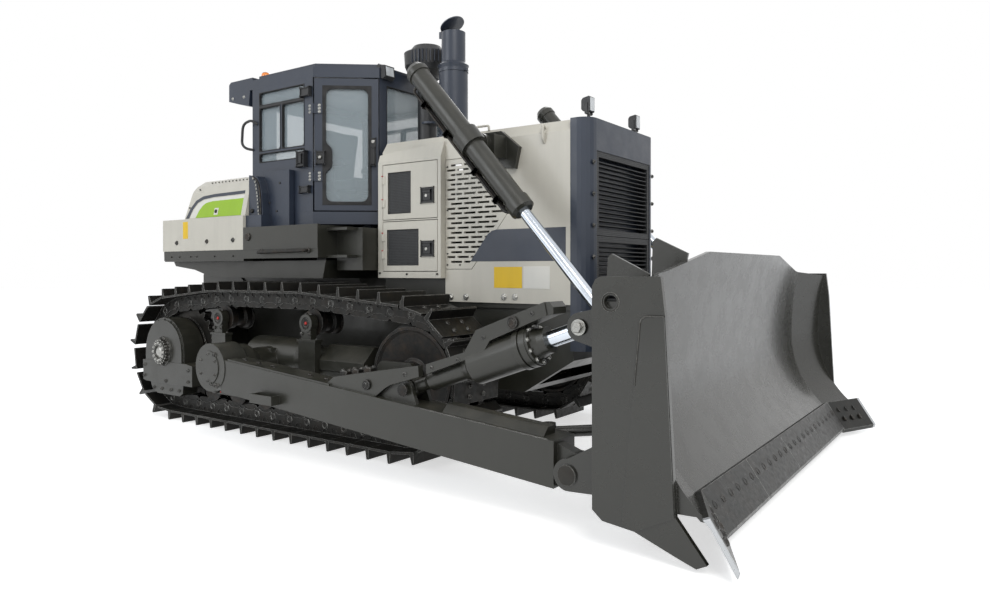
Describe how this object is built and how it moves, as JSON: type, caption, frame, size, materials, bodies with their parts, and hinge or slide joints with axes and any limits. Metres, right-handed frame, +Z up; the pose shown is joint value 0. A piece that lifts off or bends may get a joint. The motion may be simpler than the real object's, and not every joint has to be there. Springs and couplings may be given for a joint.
{
  "type": "crawler bulldozer",
  "caption": "Crawler bulldozer with a curved, angled-wing blade on push arms, two lift cylinders, a tilt cylinder, an enclosed cab and steel tracks.",
  "frame": {"origin": "on the ground, midway between the blade's foremost edge and the drawbar's rear end, on the machine's centre plane", "axes": "+X forward towards the blade, +Y to the machine's left, +Z up"},
  "size_m": [6.8646, 4.13, 3.7703],
  "materials": {
    "cream_paint": "semi-gloss",
    "slate_paint": "semi-gloss",
    "dark_paint": "satin",
    "black_steel": "worn satin",
    "worn_steel": "worn",
    "edge_steel": "worn",
    "rod_chrome": "polished",
    "dark_mesh": "satin",
    "black_plastic": "matt",
    "window_glass": "clear",
    "seat_cloth": "woven",
    "engine_iron": "painted"
  },
  "bodies": {
    "tractor": {"main_frame": "dark_paint", "drawbar": "dark_paint", "engine_block": "engine_iron", "hood": "cream_paint", "radiator_guard": "slate_paint", "grille_screens": "dark_mesh", "engine_panels": "cream_paint", "service_boxes": "cream_paint", "fuel_tank": "cream_paint", "fenders": "dark_paint", "rear_boxes": "slate_paint", "cab_base": "slate_paint", "cab_sides": "slate_paint", "cab_rear": "slate_paint", "cab_front": "slate_paint", "cab_roof": "slate_paint", "cab_glass": "window_glass", "operator_seat": "seat_cloth", "exhaust": "slate_paint", "precleaner": "black_plastic", "lamps": "black_plastic", "sprockets": "worn_steel", "idlers": "black_steel", "final_drives": "dark_paint", "lift_yokes": "dark_paint", "rollers": "black_steel", "track_frame_L": "dark_paint", "track_frame_R": "dark_paint", "track_L": "worn_steel", "track_R": "worn_steel"},
    "rain_cap": {"rain_cap": "slate_paint"},
    "push_arm_L": {"push_arm_L": "dark_paint"},
    "push_arm_R": {"push_arm_R": "dark_paint"},
    "lift_barrel_L": {"lift_barrel_L": "dark_paint"},
    "lift_barrel_R": {"lift_barrel_R": "dark_paint"},
    "lift_rod_L": {"lift_rod_L": "rod_chrome"},
    "lift_rod_R": {"lift_rod_R": "rod_chrome"},
    "tilt_barrel": {"tilt_barrel": "dark_paint"},
    "tilt_rod": {"tilt_rod": "rod_chrome"},
    "blade_brace": {"blade_brace": "dark_paint"},
    "blade": {"blade": "dark_paint", "blade_edges": "edge_steel"},
    "cab_door_L": {"cab_door_L": "slate_paint", "door_glass_L": "window_glass"},
    "service_door_upper_L": {"service_door_upper_L": "cream_paint"},
    "service_door_lower_L": {"service_door_lower_L": "cream_paint"},
    "cab_door_R": {"cab_door_R": "slate_paint", "door_glass_R": "window_glass"},
    "service_door_upper_R": {"service_door_upper_R": "cream_paint"},
    "service_door_lower_R": {"service_door_lower_R": "cream_paint"}
  },
  "joints": [
    {"name": "blade_lift", "type": "hinge", "parent": "tractor", "child": "push_arm_L", "pos_m": [-1.08, 1.745, 0.66], "axis": [0, -1, 0], "range_deg": [-7, 18]},
    {"name": "blade_tilt", "type": "hinge", "parent": "push_arm_L", "child": "blade", "pos_m": [2.4, 1.78, 0.335], "axis": [0.9957, 0, -0.093], "range_deg": [-6, 6]},
    {"name": "arm_R_follow", "type": "hinge", "parent": "push_arm_L", "child": "push_arm_R", "pos_m": [-1.08, -1.745, 0.66], "axis": [0, -1, 0], "range_deg": [-6.5, 6.5]},
    {"name": "brace_swing", "type": "hinge", "parent": "push_arm_L", "child": "blade_brace", "pos_m": [1.09, 1.722, 0.69], "axis": [0.3356, 0.0627, -0.9399], "range_deg": [-3.8, 3.8]},
    {"name": "tilt_barrel_swing", "type": "hinge", "parent": "push_arm_R", "child": "tilt_barrel", "pos_m": [1.09, -1.722, 0.69], "axis": [0.307, -0.4079, -0.8599], "range_deg": [-4.2, 4.2]},
    {"name": "tilt_rod_slide", "type": "slide", "parent": "tilt_barrel", "child": "tilt_rod", "axis": [0.9418, 0, 0.3363], "range_m": [-0.085, 0.085]},
    {"name": "lift_barrel_swing_L", "type": "hinge", "parent": "tractor", "child": "lift_barrel_L", "pos_m": [1.03, 1, 2.499], "axis": [0, -1, 0], "range_deg": [-9, 22]},
    {"name": "lift_rod_slide_L", "type": "slide", "parent": "lift_barrel_L", "child": "lift_rod_L", "axis": [0.6593, 0, -0.7519], "range_m": [-0.9, 0.4]},
    {"name": "cab_door_L", "type": "hinge", "parent": "tractor", "child": "cab_door_L", "pos_m": [-0.87332, 0.8966, 2.6], "axis": [0, 0, 1], "range_deg": [0, 110]},
    {"name": "service_door_upper_L", "type": "hinge", "parent": "tractor", "child": "service_door_upper_L", "pos_m": [-0.195, 0.682, 2.2], "axis": [0, 0, 1], "range_deg": [0, 110]},
    {"name": "service_door_lower_L", "type": "hinge", "parent": "tractor", "child": "service_door_lower_L", "pos_m": [-0.195, 0.682, 1.7], "axis": [0, 0, 1], "range_deg": [0, 110]},
    {"name": "lift_barrel_swing_R", "type": "hinge", "parent": "tractor", "child": "lift_barrel_R", "pos_m": [1.03, -1, 2.499], "axis": [0, -1, 0], "range_deg": [-9, 22]},
    {"name": "lift_rod_slide_R", "type": "slide", "parent": "lift_barrel_R", "child": "lift_rod_R", "axis": [0.6593, 0, -0.7519], "range_m": [-0.9, 0.4]},
    {"name": "cab_door_R", "type": "hinge", "parent": "tractor", "child": "cab_door_R", "pos_m": [-0.87332, -0.8966, 2.6], "axis": [0, 0, -1], "range_deg": [0, 110]},
    {"name": "service_door_upper_R", "type": "hinge", "parent": "tractor", "child": "service_door_upper_R", "pos_m": [-0.195, -0.682, 2.2], "axis": [0, 0, -1], "range_deg": [0, 110]},
    {"name": "service_door_lower_R", "type": "hinge", "parent": "tractor", "child": "service_door_lower_R", "pos_m": [-0.195, -0.682, 1.7], "axis": [0, 0, -1], "range_deg": [0, 110]},
    {"name": "rain_cap", "type": "hinge", "parent": "tractor", "child": "rain_cap", "pos_m": [0.194, -0.3, 3.654], "axis": [0, 1, 0], "range_deg": [0, 28]}
  ],
  "couplings": [
    {"joint": "arm_R_follow", "follows": "blade_tilt", "ratio": -1.013},
    {"joint": "brace_swing", "follows": "blade_tilt", "ratio": 0.584},
    {"joint": "tilt_barrel_swing", "follows": "blade_tilt", "ratio": 0.6384},
    {"joint": "tilt_rod_slide", "follows": "blade_tilt", "m_per_rad": -0.7547},
    {"joint": "lift_barrel_swing_L", "follows": "blade_lift", "ratio": 1.2},
    {"joint": "lift_rod_slide_L", "follows": "blade_lift", "m_per_rad": -2.7603},
    {"joint": "lift_barrel_swing_R", "follows": "blade_lift", "ratio": 1.2},
    {"joint": "lift_rod_slide_R", "follows": "blade_lift", "m_per_rad": -2.7603}
  ]
}
